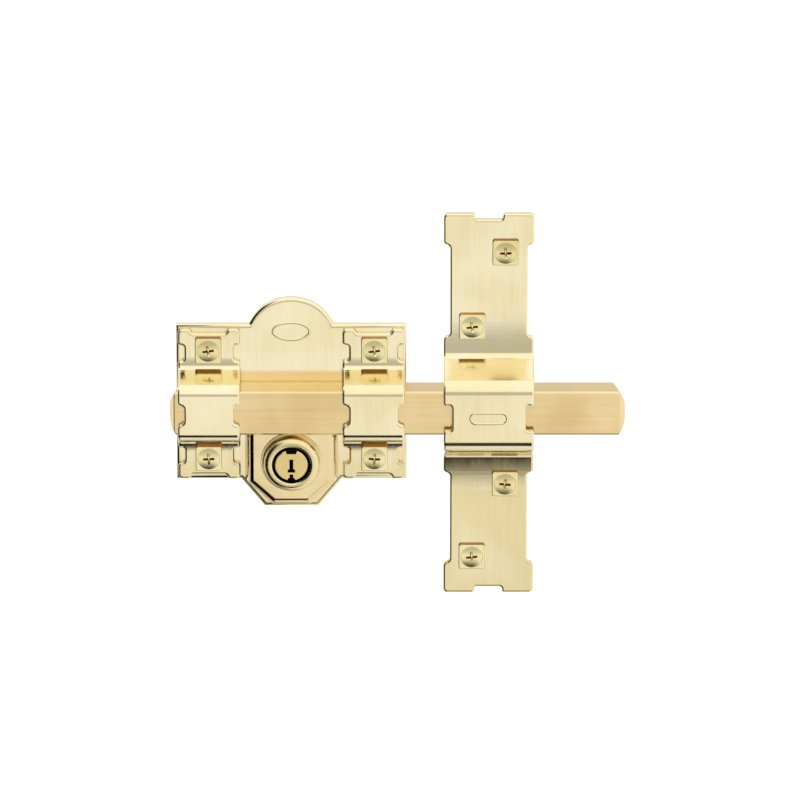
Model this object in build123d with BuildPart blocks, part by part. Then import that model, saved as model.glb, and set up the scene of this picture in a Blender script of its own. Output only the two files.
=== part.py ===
from build123d import *
from math import acos, cos, pi, radians, sin, sqrt, tan
import os

# Rim sliding bolt with a key cylinder, and its keeper.  Millimetres.
# X runs along the bar towards the keeper, Z is up, and the front of the lock faces -Y.
# Y = 0 is the face of the door: the back of the base plate and of the keeper's feet.
# The origin is on that face, behind the middle line of the bar.
# A "depth" is a distance in front of the door, along -Y.

# Base plate
PLATE_WIDTH = 100
PLATE_TOP = 36.3
PLATE_BOTTOM = -35.3
PLATE_SHEET = 2.5
PLATE_EDGE_ROUND = 0.8
DOME_RADIUS = 20.0
DOME_TOP = 48.5
SKIRT_TOP_HALF = 22.0
SKIRT_BOTTOM_HALF = 11.8
SKIRT_BOTTOM = -48.0
EMBOSS_HEIGHT = 0.3
EMBOSS_LINE = 1.0
DOME_EMBLEM = (17, 9)
DOME_EMBLEM_Z = 33.0

# Bolt bar
BAR_LEFT = -53
BAR_RIGHT = 145
BAR_HEIGHT = 20
BAR_BACK = 3.0
BAR_THICKNESS = 13
BAR_EDGE = 0.5
BAR_END_RADIUS = 20
BAR_END_AXIS = 13

# Body straps
STRAP_WIDTH = 27
STRAP_CENTRE = 35.7
STRAP_SHEET = 2.2
STRAP_HALF_HEIGHT = 34.6
STRAP_INNER_DEPTH = 16.5
STRAP_INNER_HALF = 10.45
STRAP_WALL_SLOPE = 20
STRAP_TOP_ROUND = 2.6
STRAP_FOOT_ROUND = 4.7
STRAP_NOTCH_DEPTH = 2.8
HUMP_NOTCH = (6.2, 2.6)
FOOT_NOTCH = (5.0, 2.3)
FOOT_NOTCH_Z = 23.6
END_NOTCH = (9.3, 6.5)
END_NOTCH_DEPTH = 2.0

# Keeper
KEEPER_CENTRE = 85.6
KEEPER_DROP = 0.8
KEEPER_WIDTH = 39.2
KEEPER_NARROW_WIDTH = 33.6
KEEPER_NARROW_FROM = 31.5
KEEPER_NARROW_TO = 73.5
KEEPER_STEP = 3.8
KEEPER_HALF_HEIGHT = 87.8
KEEPER_SHEET = 2.5
KEEPER_INNER_DEPTH = 17.8
KEEPER_INNER_HALF = 13.2
KEEPER_WALL_SLOPE = 26
KEEPER_TOP_ROUND = 3.0
KEEPER_FOOT_ROUND = 12.0
KEEPER_END_NOTCH = (7.2, 4.8)
KEEPER_END_NOTCH_DEPTH = 2.7
KEEPER_HUMP_NOTCH = (7.0, 4.6)
KEEPER_HUMP_NOTCH_DEPTH = 3.6
KEEPER_EMBLEM = (17, 6)

# Collars and wood screws
COLLAR_SIZE = 11.4
COLLAR_HEIGHT = 1.8
COLLAR_EDGE = 0.35
COLLAR_SHANK_RADIUS = 4.0
COLLAR_FLARE_RADIUS = 4.8
COLLAR_FLARE_DEPTH = 0.8
COLLAR_BORE_RADIUS = 2.7
COLLAR_SPACING_X = 72
COLLAR_SPACING_Z = 49.9
COLLAR_RISE = 0.35
KEEPER_COLLAR_X = 7.2
KEEPER_COLLAR_Z = (70.4, 36.4)
SCREW_HEAD_RADIUS = 4.7
SCREW_HEAD_RIM = 0.7
SCREW_HEAD_PROUD = 0.25
SCREW_NECK_RADIUS = 2.2
SCREW_THREAD_RADIUS = 2.5
SCREW_LENGTH = 35
SCREW_POINT = 6
CROSS_SPAN = 5.4
CROSS_SLOT = 1.1
CROSS_DEPTH = 1.8

# Lock: key cylinder axis, along Y
LOCK_Z = -24
GEAR_TEETH = 30
GEAR_MODULE = 1.0
GEAR_DEDENDUM = 1.25 * GEAR_MODULE
PRESSURE_ANGLE = 20
GEAR_BACK = 3.4
GEAR_FRONT = 7.6
BACKLASH = 0.16
RACK_FIRST_SPACE = -3
RACK_LAST_SPACE = 33
RACK_FRONT = 8.2

# Key plug
PLUG_FACE = 16.2
PLUG_HEAD_RADIUS = 7.1
PLUG_SEAT_RADIUS = 6.95
PLUG_SEAT_FLAT = 6.3
PLUG_BARREL_RADIUS = 6.25
PLUG_GROOVE_RADIUS = 5.2
PLUG_GROOVE = 1.0
PLUG_TAIL = 2.6
PLUG_HOLE_RADIUS = 6.5
RUNNING_FIT = 0.05
KEYWAY_WIDTH = 1.65
KEYWAY_TOP = 2.8
KEYWAY_BOTTOM = 5.25
KEYWAY_END = 19.0
WARD_WIDTH = 3.2
WARD_Z = -2.45
WARD_HEIGHT = 1.5
TAIL_SLOT = (8, 3)
TAIL_SLOT_DEPTH = 4

# Lock housing
HOUSING_TOP = -10.5
HOUSING_FACE = 11.0
HOUSING_FACE_HALF = 18.6
HOUSING_SHOULDER_Z = -34.1
HOUSING_FOOT_HALF = 8.1
HOUSING_BOTTOM = -44.0
HOUSING_DRAFT = 11
HOUSING_SHEET = 1.6
HOUSING_EDGE = 1.8
HOUSING_BORE = 9.5
TAB_WIDTH = 6
TAB_SHEET = 1.4
TAB_INSET = 0.95
TAB_PLAY = 0.1
TAB_BACK = 0.6
OCTAGON_HALF_TURN = 22.5

# Rosette
ROSETTE_COLLAR_RADIUS = 13.3
ROSETTE_COLLAR = 0.9
ROSETTE_RADIUS = 12.5
ROSETTE_WALL = 2.3
ROSETTE_CREST = (9.5, 16.3)
ROSETTE_LIP = (8.4, 15.9)
ROSETTE_RECESS = 12.2
ROSETTE_SPIGOT = 9.4
ROSETTE_BACK = 8.6

# Cylinder shell behind the plate
SHELL_RADIUS = 14.5
SHELL_LENGTH = 21
SHELL_DROP = 5.5
SHELL_SEAT = 0.1
SHELL_SEAT_PLAY = 0.1
SHELL_SCREW_X = 9.5
SHELL_SCREW_Z = -31
SHELL_SCREW_RADIUS = 1.5
SHELL_SCREW_HEAD = 2.9
SHELL_SCREW_LENGTH = 9
SHELL_SCREW_SLOT = 0.8
WASHER_RADIUS = 9.0
WASHER_THICKNESS = 0.8
CLIP_RADIUS = 8.2
CLIP_THICKNESS = 0.9

# Tumblers
PIN_COUNT = 5
PIN_PITCH = 3.5
PIN_FIRST_DEPTH = -3.0
PIN_RADIUS = 1.45
PIN_BORE_RADIUS = 1.5
KEY_PIN_LENGTHS = (3.4, 4.4, 3.0, 4.0, 3.6)
KEY_PIN_END = 6.0
KEY_PIN_TIP_RADIUS = 0.3
KEY_PIN_CONE = 1.0
DRIVER_TOP = 6.35
DRIVER_LENGTH = 4.0
SPRING_WIRE = 0.2
SPRING_RADIUS = 1.15
SPRING_TURNS = 6
CHAMBER_PLUG_TOP = 18.2
CHAMBER_PLUG_LENGTH = 1.5

PITCH_RADIUS = GEAR_MODULE * GEAR_TEETH / 2
TIP_RADIUS = PITCH_RADIUS + GEAR_MODULE
ROOT_RADIUS = PITCH_RADIUS - GEAR_DEDENDUM
PITCH_LINE = LOCK_Z + PITCH_RADIUS
SPACING = pi * GEAR_MODULE
BODY_COLLARS = [
    (side * COLLAR_SPACING_X / 2, COLLAR_RISE + level * COLLAR_SPACING_Z / 2)
    for side in (-1, 1)
    for level in (-1, 1)
]
KEEPER_COLLARS = [
    (KEEPER_CENTRE + KEEPER_COLLAR_X, KEEPER_COLLAR_Z[0] - KEEPER_DROP),
    (KEEPER_CENTRE - KEEPER_COLLAR_X, KEEPER_COLLAR_Z[1] - KEEPER_DROP),
    (KEEPER_CENTRE + KEEPER_COLLAR_X, -KEEPER_COLLAR_Z[1] - KEEPER_DROP),
    (KEEPER_CENTRE - KEEPER_COLLAR_X, -KEEPER_COLLAR_Z[0] - KEEPER_DROP),
]


def front(depth):
    """Plane facing the room at a depth: local X is X, local Y is Z."""
    return Plane.XZ.offset(depth)


def section(x=0, z=0):
    """Plane across the bar at x: local X is the depth, local Y is up from z."""
    return Plane(origin=(x, 0, z), x_dir=(0, -1, 0), z_dir=(-1, 0, 0))


def ogee_notch(mouth, floor, depth):
    """Notch cut towards +X from the line X = 0, with S-shaped ends."""
    middle = (depth / 2, (mouth + floor) / 2)
    with BuildSketch() as notch:
        with BuildLine():
            TangentArc((0, mouth), middle, tangent=(0, -1))
            TangentArc((depth, floor), middle, tangent=(0, 1))
            Line((depth, floor), (depth, 0))
            mirror(about=Plane.XZ)
            Line((0, mouth), (0, -mouth))
        make_face()
    return notch.sketch


def bridge_outline(inner_depth, inner_half, slope, sheet, half_height, rounds, back):
    """Side section of a bent strap that stands on the depth `back` and bridges the bar."""
    foot_half = inner_half + (inner_depth - back) * tan(radians(slope))
    foot_round, top_round = rounds
    with BuildSketch() as outline:
        with BuildLine():
            FilletPolyline(
                (back, half_height),
                (back, foot_half),
                (inner_depth, inner_half),
                (inner_depth, -inner_half),
                (back, -foot_half),
                (back, -half_height),
                radius=[foot_round, top_round, top_round, foot_round],
            )
            offset(amount=sheet, side=Side.LEFT)
        make_face()
    return outline.sketch


def oval_frame(size):
    """Plain oval outline used as a raised ornament."""
    length, height = size
    with BuildSketch() as frame:
        Ellipse(length / 2, height / 2)
        Ellipse(length / 2 - EMBOSS_LINE, height / 2 - EMBOSS_LINE, mode=Mode.SUBTRACT)
    return frame.sketch


def bar_frame(size):
    """Plain round-ended outline used as a raised ornament."""
    length, height = size
    with BuildSketch() as frame:
        SlotOverall(length, height)
        SlotOverall(length - 2 * EMBOSS_LINE, height - 2 * EMBOSS_LINE, mode=Mode.SUBTRACT)
    return frame.sketch


# Base plate -------------------------------------------------------------------------------------


def tab_places():
    """Centres and angles of the housing's three tabs, in the plate's plane."""
    side_x = HOUSING_FACE_HALF + (HOUSING_FACE - PLATE_SHEET) * tan(radians(HOUSING_DRAFT)) - TAB_INSET
    low_z = HOUSING_BOTTOM - (HOUSING_FACE - PLATE_SHEET) * tan(radians(HOUSING_DRAFT)) + TAB_INSET
    return [
        Location((-side_x, LOCK_Z, 0), (0, 0, 90)),
        Location((side_x, LOCK_Z, 0), (0, 0, 90)),
        Location((0, low_z, 0)),
    ]


with BuildPart() as base_plate:
    with BuildSketch(front(0)):
        with Locations((0, PLATE_TOP)):
            Rectangle(PLATE_WIDTH, PLATE_TOP - PLATE_BOTTOM, align=(Align.CENTER, Align.MAX))
        with Locations((0, DOME_TOP - DOME_RADIUS)):
            Circle(DOME_RADIUS)
        with BuildLine():
            Polyline(
                (-SKIRT_TOP_HALF, 0),
                (-SKIRT_TOP_HALF, PLATE_BOTTOM),
                (-SKIRT_BOTTOM_HALF, SKIRT_BOTTOM),
                (SKIRT_BOTTOM_HALF, SKIRT_BOTTOM),
                (SKIRT_TOP_HALF, PLATE_BOTTOM),
                (SKIRT_TOP_HALF, 0),
                close=True,
            )
        make_face()
    extrude(amount=PLATE_SHEET)
    fillet(base_plate.faces().sort_by(Axis.Y)[0].edges(), radius=PLATE_EDGE_ROUND)
    with BuildSketch(front(PLATE_SHEET)):
        with Locations((0, DOME_EMBLEM_Z)):
            add(oval_frame(DOME_EMBLEM))
    extrude(amount=EMBOSS_HEIGHT)
    with BuildSketch(front(0)):
        with Locations(BODY_COLLARS):
            Circle(COLLAR_SHANK_RADIUS)
        with Locations((0, LOCK_Z)):
            Circle(PLUG_HOLE_RADIUS)
        with Locations(tab_places()):
            Rectangle(TAB_WIDTH + 2 * TAB_PLAY, TAB_SHEET + 2 * TAB_PLAY)
    extrude(amount=PLATE_SHEET, mode=Mode.SUBTRACT)
    with BuildSketch(front(0)):
        with Locations((0, LOCK_Z - SHELL_DROP)):
            Circle(SHELL_RADIUS + SHELL_SEAT_PLAY)
    extrude(amount=SHELL_SEAT, mode=Mode.SUBTRACT)
    for x, z in BODY_COLLARS:
        with Locations(Location((x, 0, z), (90, 0, 0))):
            Cone(
                COLLAR_FLARE_RADIUS,
                COLLAR_SHANK_RADIUS,
                COLLAR_FLARE_DEPTH,
                align=(Align.CENTER, Align.CENTER, Align.MIN),
                mode=Mode.SUBTRACT,
            )
    with Locations(
        [
            Location((side * SHELL_SCREW_X, -PLATE_SHEET, SHELL_SCREW_Z), (90, 0, 0))
            for side in (-1, 1)
        ]
    ):
        CounterSinkHole(SHELL_SCREW_RADIUS + RUNNING_FIT, SHELL_SCREW_HEAD, depth=PLATE_SHEET)


# Straps -----------------------------------------------------------------------------------------


def body_strap(centre_x):
    """Bent strap that guides the bar, with ornamental notches in its edges."""
    notches = [
        (0, HUMP_NOTCH),
        (FOOT_NOTCH_Z, FOOT_NOTCH),
        (-FOOT_NOTCH_Z, FOOT_NOTCH),
    ]
    with BuildPart() as strap:
        with BuildSketch(section(centre_x)):
            add(
                bridge_outline(
                    STRAP_INNER_DEPTH,
                    STRAP_INNER_HALF,
                    STRAP_WALL_SLOPE,
                    STRAP_SHEET,
                    STRAP_HALF_HEIGHT,
                    (STRAP_FOOT_ROUND, STRAP_TOP_ROUND),
                    PLATE_SHEET,
                )
            )
        extrude(amount=STRAP_WIDTH / 2, both=True)
        with BuildSketch(front(0)):
            with Locations((centre_x, 0)):
                for z, (mouth, floor) in notches:
                    with Locations((-STRAP_WIDTH / 2, z), Location((STRAP_WIDTH / 2, z), 180)):
                        add(ogee_notch(mouth, floor, STRAP_NOTCH_DEPTH))
                with Locations(
                    Location((0, STRAP_HALF_HEIGHT), -90),
                    Location((0, -STRAP_HALF_HEIGHT), 90),
                ):
                    add(ogee_notch(*END_NOTCH, END_NOTCH_DEPTH))
            with Locations(BODY_COLLARS):
                Circle(COLLAR_SHANK_RADIUS)
        extrude(amount=STRAP_INNER_DEPTH + 2 * STRAP_SHEET, mode=Mode.SUBTRACT)
    return strap


left_strap = body_strap(-STRAP_CENTRE)
right_strap = body_strap(STRAP_CENTRE)


with BuildPart() as keeper_strap:
    with BuildSketch(section(KEEPER_CENTRE, -KEEPER_DROP)):
        add(
            bridge_outline(
                KEEPER_INNER_DEPTH,
                KEEPER_INNER_HALF,
                KEEPER_WALL_SLOPE,
                KEEPER_SHEET,
                KEEPER_HALF_HEIGHT,
                (KEEPER_FOOT_ROUND, KEEPER_TOP_ROUND),
                0,
            )
        )
    extrude(amount=KEEPER_WIDTH / 2, both=True)
    with BuildSketch(front(0)):
        waist_half = (KEEPER_NARROW_TO - KEEPER_NARROW_FROM) / 2
        waist_centre = (KEEPER_NARROW_TO + KEEPER_NARROW_FROM) / 2
        waist_depth = (KEEPER_WIDTH - KEEPER_NARROW_WIDTH) / 2
        notches = [
            (waist_centre, (waist_half + KEEPER_STEP / 2, waist_half - KEEPER_STEP / 2), waist_depth),
            (-waist_centre, (waist_half + KEEPER_STEP / 2, waist_half - KEEPER_STEP / 2), waist_depth),
            (0, KEEPER_HUMP_NOTCH, KEEPER_HUMP_NOTCH_DEPTH),
        ]
        with Locations((KEEPER_CENTRE, -KEEPER_DROP)):
            for z, (mouth, floor), depth in notches:
                with Locations((-KEEPER_WIDTH / 2, z), Location((KEEPER_WIDTH / 2, z), 180)):
                    add(ogee_notch(mouth, floor, depth))
            with Locations(
                Location((0, KEEPER_HALF_HEIGHT), -90),
                Location((0, -KEEPER_HALF_HEIGHT), 90),
            ):
                add(ogee_notch(*KEEPER_END_NOTCH, KEEPER_END_NOTCH_DEPTH))
        with Locations(KEEPER_COLLARS):
            Circle(COLLAR_SHANK_RADIUS)
    extrude(amount=KEEPER_INNER_DEPTH + 2 * KEEPER_SHEET, mode=Mode.SUBTRACT)
    for x, z in KEEPER_COLLARS:
        with Locations(Location((x, 0, z), (90, 0, 0))):
            Cone(
                COLLAR_FLARE_RADIUS,
                COLLAR_SHANK_RADIUS,
                COLLAR_FLARE_DEPTH,
                align=(Align.CENTER, Align.CENTER, Align.MIN),
                mode=Mode.SUBTRACT,
            )
    with BuildSketch(front(KEEPER_INNER_DEPTH + KEEPER_SHEET)):
        with Locations((KEEPER_CENTRE, -KEEPER_DROP)):
            add(bar_frame(KEEPER_EMBLEM))
    extrude(amount=EMBOSS_HEIGHT)


# Bar --------------------------------------------------------------------------------------------


def rack_space():
    """Gap between two rack teeth, centred on X = 0, measured up from the rack's tips."""
    slope = tan(radians(PRESSURE_ANGLE))
    half_at_pitch = SPACING / 4 + BACKLASH / 2
    height = GEAR_MODULE + GEAR_DEDENDUM
    mouth = half_at_pitch + GEAR_MODULE * slope
    floor = half_at_pitch - (height - GEAR_MODULE) * slope
    with BuildSketch() as space:
        with BuildLine():
            Polyline((-mouth, 0), (-floor, height), (floor, height), (mouth, 0), close=True)
        make_face()
    return space.sketch


with BuildPart() as bolt_bar:
    bar_middle = (BAR_LEFT + BAR_RIGHT) / 2
    bar_axis = BAR_BACK + BAR_THICKNESS / 2
    with BuildSketch(section(bar_middle)):
        with Locations((bar_axis, 0)):
            Rectangle(BAR_THICKNESS, BAR_HEIGHT)
    extrude(amount=(BAR_RIGHT - BAR_LEFT) / 2, both=True)
    chamfer(bolt_bar.edges().filter_by(Axis.X), length=BAR_EDGE)
    with BuildSketch(front(BAR_END_AXIS)):
        with BuildLine():
            reach = sqrt((BAR_HEIGHT / 2) ** 2 + (BAR_END_AXIS - BAR_BACK) ** 2) + BAR_EDGE
            setback = BAR_END_RADIUS - sqrt(BAR_END_RADIUS**2 - reach**2)
            TangentArc((BAR_LEFT, 0), (BAR_LEFT + setback, reach), tangent=(0, 1))
            Line((BAR_LEFT + setback, reach), (BAR_RIGHT - setback, reach))
            TangentArc((BAR_RIGHT, 0), (BAR_RIGHT - setback, reach), tangent=(0, 1))
            Line((BAR_RIGHT, 0), (BAR_LEFT, 0))
        make_face()
    revolve(axis=Axis((0, -BAR_END_AXIS, 0), (1, 0, 0)), mode=Mode.INTERSECT)
    with BuildSketch(front(BAR_BACK)):
        with Locations(
            [
                (number * SPACING, PITCH_LINE - GEAR_MODULE)
                for number in range(RACK_FIRST_SPACE, RACK_LAST_SPACE + 1)
            ]
        ):
            add(rack_space())
    extrude(amount=RACK_FRONT - BAR_BACK, mode=Mode.SUBTRACT)


# Collars and wood screws ------------------------------------------------------------------------


def collar_group(places, seat_depth):
    """Square-headed rivets standing on `seat_depth`, flared into the back of the sheet."""
    top = seat_depth + COLLAR_HEIGHT
    head_rim = SCREW_HEAD_RIM - SCREW_HEAD_PROUD
    with BuildPart() as group:
        with BuildSketch(front(seat_depth)):
            with Locations(places):
                Rectangle(COLLAR_SIZE, COLLAR_SIZE)
        extrude(amount=COLLAR_HEIGHT)
        chamfer(group.faces().filter_by(Axis.Y).group_by(Axis.Y)[0].edges(), length=COLLAR_EDGE)
        with BuildSketch(front(0)):
            with Locations(places):
                Circle(COLLAR_SHANK_RADIUS)
        extrude(amount=seat_depth)
        for x, z in places:
            with Locations(Location((x, 0, z), (90, 0, 0))):
                Cone(
                    COLLAR_FLARE_RADIUS,
                    COLLAR_SHANK_RADIUS,
                    COLLAR_FLARE_DEPTH,
                    align=(Align.CENTER, Align.CENTER, Align.MIN),
                )
            with Locations(Location((x, -top, z), (90, 0, 0))):
                CounterBoreHole(COLLAR_BORE_RADIUS, SCREW_HEAD_RADIUS, head_rim, depth=top)
            with Locations(Location((x, head_rim - top, z), (90, 0, 0))):
                Cone(
                    COLLAR_BORE_RADIUS,
                    SCREW_HEAD_RADIUS,
                    SCREW_HEAD_RADIUS - COLLAR_BORE_RADIUS,
                    align=(Align.CENTER, Align.CENTER, Align.MAX),
                    mode=Mode.SUBTRACT,
                )
    return group


def wood_screw_group(places, seat_depth):
    """Countersunk cross-recess wood screws, threaded from the door's face to their points."""
    top = seat_depth + COLLAR_HEIGHT + SCREW_HEAD_PROUD
    cone_end = top - SCREW_HEAD_RIM - (SCREW_HEAD_RADIUS - SCREW_NECK_RADIUS)
    tip = top - SCREW_LENGTH
    with BuildPart() as group:
        for x, z in places:
            with BuildSketch(section(x, z)):
                with BuildLine():
                    Polyline(
                        (top, 0),
                        (top, SCREW_HEAD_RADIUS),
                        (top - SCREW_HEAD_RIM, SCREW_HEAD_RADIUS),
                        (cone_end, SCREW_NECK_RADIUS),
                        (0, SCREW_NECK_RADIUS),
                        (0, SCREW_THREAD_RADIUS),
                        (tip + SCREW_POINT, SCREW_THREAD_RADIUS),
                        (tip, 0),
                        close=True,
                    )
                make_face()
            revolve(axis=Axis((x, 0, z), (0, 1, 0)))
        with BuildSketch(front(top)):
            with Locations(places):
                Rectangle(CROSS_SPAN, CROSS_SLOT)
                Rectangle(CROSS_SLOT, CROSS_SPAN)
        extrude(amount=-CROSS_DEPTH, mode=Mode.SUBTRACT)
    return group


body_collars = collar_group(BODY_COLLARS, PLATE_SHEET + STRAP_SHEET)
keeper_collars = collar_group(KEEPER_COLLARS, KEEPER_SHEET)
body_screws = wood_screw_group(BODY_COLLARS, PLATE_SHEET + STRAP_SHEET)
keeper_screws = wood_screw_group(KEEPER_COLLARS, KEEPER_SHEET)


# Lock housing and rosette -----------------------------------------------------------------------


def housing_outline(grow):
    """Half-octagon seen from the front, grown outwards; it runs up past the housing's open top."""
    half = HOUSING_FACE_HALF + grow
    corner = grow * tan(radians(OCTAGON_HALF_TURN))
    with BuildSketch() as outline:
        with BuildLine():
            Polyline(
                (-half, 0),
                (-half, HOUSING_SHOULDER_Z - corner),
                (-HOUSING_FOOT_HALF - corner, HOUSING_BOTTOM - grow),
                (HOUSING_FOOT_HALF + corner, HOUSING_BOTTOM - grow),
                (half, HOUSING_SHOULDER_Z - corner),
                (half, 0),
                close=True,
            )
        make_face()
    return outline.sketch


with BuildPart() as lock_housing:
    spread = (HOUSING_FACE - PLATE_SHEET) * tan(radians(HOUSING_DRAFT))
    wall = HOUSING_SHEET / cos(radians(HOUSING_DRAFT))
    roof_spread = spread - HOUSING_SHEET * tan(radians(HOUSING_DRAFT))
    with BuildSketch(front(PLATE_SHEET)):
        add(housing_outline(spread))
    with BuildSketch(front(HOUSING_FACE)):
        add(housing_outline(0))
    loft()
    fillet(lock_housing.faces().sort_by(Axis.Y)[0].edges(), radius=HOUSING_EDGE)
    with BuildSketch(front(PLATE_SHEET)):
        add(housing_outline(spread - wall))
    with BuildSketch(front(HOUSING_FACE - HOUSING_SHEET)):
        add(housing_outline(spread - wall - roof_spread))
    loft(mode=Mode.SUBTRACT)
    split(bisect_by=Plane.XY.offset(HOUSING_TOP), keep=Keep.BOTTOM)
    with BuildSketch(front(TAB_BACK)):
        with Locations(tab_places()):
            Rectangle(TAB_WIDTH, TAB_SHEET)
    extrude(amount=PLATE_SHEET + HOUSING_SHEET / 2 - TAB_BACK)
    with Locations(Location((0, -HOUSING_FACE, LOCK_Z), (90, 0, 0))):
        Hole(HOUSING_BORE, depth=2 * HOUSING_SHEET)


with BuildPart() as rosette:
    bore = PLUG_HEAD_RADIUS + RUNNING_FIT
    with BuildSketch(section(0, LOCK_Z)):
        with BuildLine():
            Polyline(
                (ROSETTE_LIP[1], ROSETTE_LIP[0]),
                (ROSETTE_RECESS, ROSETTE_LIP[0]),
                (ROSETTE_RECESS, bore),
                (ROSETTE_BACK, bore),
                (ROSETTE_BACK, ROSETTE_SPIGOT),
                (HOUSING_FACE, ROSETTE_SPIGOT),
                (HOUSING_FACE, ROSETTE_COLLAR_RADIUS),
                (HOUSING_FACE + ROSETTE_COLLAR, ROSETTE_COLLAR_RADIUS),
                (HOUSING_FACE + ROSETTE_COLLAR, ROSETTE_RADIUS),
                (HOUSING_FACE + ROSETTE_WALL, ROSETTE_RADIUS),
            )
            crest = (ROSETTE_CREST[1], ROSETTE_CREST[0])
            TangentArc(crest, (HOUSING_FACE + ROSETTE_WALL, ROSETTE_RADIUS), tangent=(0, 1))
            TangentArc(crest, (ROSETTE_LIP[1], ROSETTE_LIP[0]), tangent=(0, -1))
        make_face()
    revolve(axis=Axis((0, 0, LOCK_Z), (0, 1, 0)))


# Gear, plug and cylinder ------------------------------------------------------------------------


def gear_tooth():
    """One involute tooth pointing up from the gear's centre."""
    base_radius = PITCH_RADIUS * cos(radians(PRESSURE_ANGLE))

    def half_angle(radius):
        """Half the angle that the tooth fills at a radius."""
        pressure = acos(min(1, base_radius / radius))
        at_pitch = tan(radians(PRESSURE_ANGLE)) - radians(PRESSURE_ANGLE)
        return pi / (2 * GEAR_TEETH) + at_pitch - (tan(pressure) - pressure)

    def flank(radius):
        """Point of the right flank at a radius."""
        angle = half_angle(radius)
        return (radius * sin(angle), radius * cos(angle))

    inner = (base_radius * sin(half_angle(base_radius)), ROOT_RADIUS - GEAR_MODULE)
    with BuildSketch() as tooth:
        with BuildLine():
            ThreePointArc(flank(base_radius), flank(PITCH_RADIUS), flank(TIP_RADIUS))
            Line(flank(base_radius), inner)
            Line(inner, (0, inner[1]))
            Line(flank(TIP_RADIUS), (0, TIP_RADIUS * cos(half_angle(TIP_RADIUS))))
            mirror(about=Plane.YZ)
        make_face()
    return tooth.sketch


def flatted_circle(radius, flat):
    """Circle with two upright flats."""
    with BuildSketch() as shape:
        Circle(radius)
        Rectangle(2 * flat, 2 * radius, mode=Mode.INTERSECT)
    return shape.sketch


with BuildPart() as drive_gear:
    with BuildSketch(front(GEAR_BACK)):
        with Locations((0, LOCK_Z)):
            Circle(ROOT_RADIUS)
            with PolarLocations(0, GEAR_TEETH):
                add(gear_tooth())
            add(
                flatted_circle(PLUG_SEAT_RADIUS + RUNNING_FIT / 2, PLUG_SEAT_FLAT + RUNNING_FIT / 2),
                mode=Mode.SUBTRACT,
            )
    extrude(amount=GEAR_FRONT - GEAR_BACK)


def pin_depth(number):
    """Depth of a tumbler's centre line, counted from the plate inwards."""
    return PIN_FIRST_DEPTH - number * PIN_PITCH


with BuildPart() as key_plug:
    groove_front = -SHELL_LENGTH
    with BuildSketch(section(0, LOCK_Z)):
        with BuildLine():
            Polyline(
                (PLUG_FACE, 0),
                (PLUG_FACE, PLUG_HEAD_RADIUS),
                (GEAR_FRONT, PLUG_HEAD_RADIUS),
                (GEAR_FRONT, PLUG_SEAT_RADIUS),
                (GEAR_BACK, PLUG_SEAT_RADIUS),
                (GEAR_BACK, PLUG_BARREL_RADIUS),
                (groove_front, PLUG_BARREL_RADIUS),
                (groove_front, PLUG_GROOVE_RADIUS),
                (groove_front - PLUG_GROOVE, PLUG_GROOVE_RADIUS),
                (groove_front - PLUG_GROOVE, PLUG_BARREL_RADIUS),
                (groove_front - PLUG_TAIL, PLUG_BARREL_RADIUS),
                (groove_front - PLUG_TAIL, 0),
                close=True,
            )
        make_face()
    revolve(axis=Axis((0, 0, LOCK_Z), (0, 1, 0)))
    with BuildSketch(front(GEAR_BACK)):
        with Locations((0, LOCK_Z)):
            Circle(PLUG_HEAD_RADIUS)
            add(flatted_circle(PLUG_HEAD_RADIUS, PLUG_SEAT_FLAT), mode=Mode.SUBTRACT)
    extrude(amount=GEAR_FRONT - GEAR_BACK, mode=Mode.SUBTRACT)
    with BuildSketch(front(PLUG_FACE)):
        with Locations((0, LOCK_Z + KEYWAY_TOP)):
            Rectangle(KEYWAY_WIDTH, KEYWAY_TOP + KEYWAY_BOTTOM, align=(Align.CENTER, Align.MAX))
        with Locations((0, LOCK_Z + WARD_Z)):
            Rectangle(WARD_WIDTH, WARD_HEIGHT)
    extrude(amount=-(PLUG_FACE + KEYWAY_END), mode=Mode.SUBTRACT)
    with BuildSketch(front(groove_front - PLUG_TAIL)):
        with Locations((0, LOCK_Z)):
            Rectangle(*TAIL_SLOT)
    extrude(amount=TAIL_SLOT_DEPTH, mode=Mode.SUBTRACT)
    for number in range(PIN_COUNT):
        with Locations(Location((0, -pin_depth(number), LOCK_Z), (180, 0, 0))):
            Cylinder(
                PIN_BORE_RADIUS,
                PLUG_HEAD_RADIUS,
                align=(Align.CENTER, Align.CENTER, Align.MIN),
                mode=Mode.SUBTRACT,
            )


with BuildPart() as cylinder_shell:
    with BuildSketch(front(SHELL_SEAT)):
        with Locations((0, LOCK_Z - SHELL_DROP)):
            Circle(SHELL_RADIUS)
        with Locations((0, LOCK_Z)):
            Circle(PLUG_BARREL_RADIUS + RUNNING_FIT, mode=Mode.SUBTRACT)
    extrude(amount=-SHELL_SEAT - SHELL_LENGTH)
    for number in range(PIN_COUNT):
        with Locations(Location((0, -pin_depth(number), LOCK_Z), (180, 0, 0))):
            Cylinder(
                PIN_BORE_RADIUS,
                SHELL_RADIUS + 2 * SHELL_DROP,
                align=(Align.CENTER, Align.CENTER, Align.MIN),
                mode=Mode.SUBTRACT,
            )
    with BuildSketch(front(SHELL_SEAT)):
        with Locations([(side * SHELL_SCREW_X, SHELL_SCREW_Z) for side in (-1, 1)]):
            Circle(SHELL_SCREW_RADIUS)
    extrude(amount=-SHELL_SEAT - SHELL_SCREW_LENGTH, mode=Mode.SUBTRACT)


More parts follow.
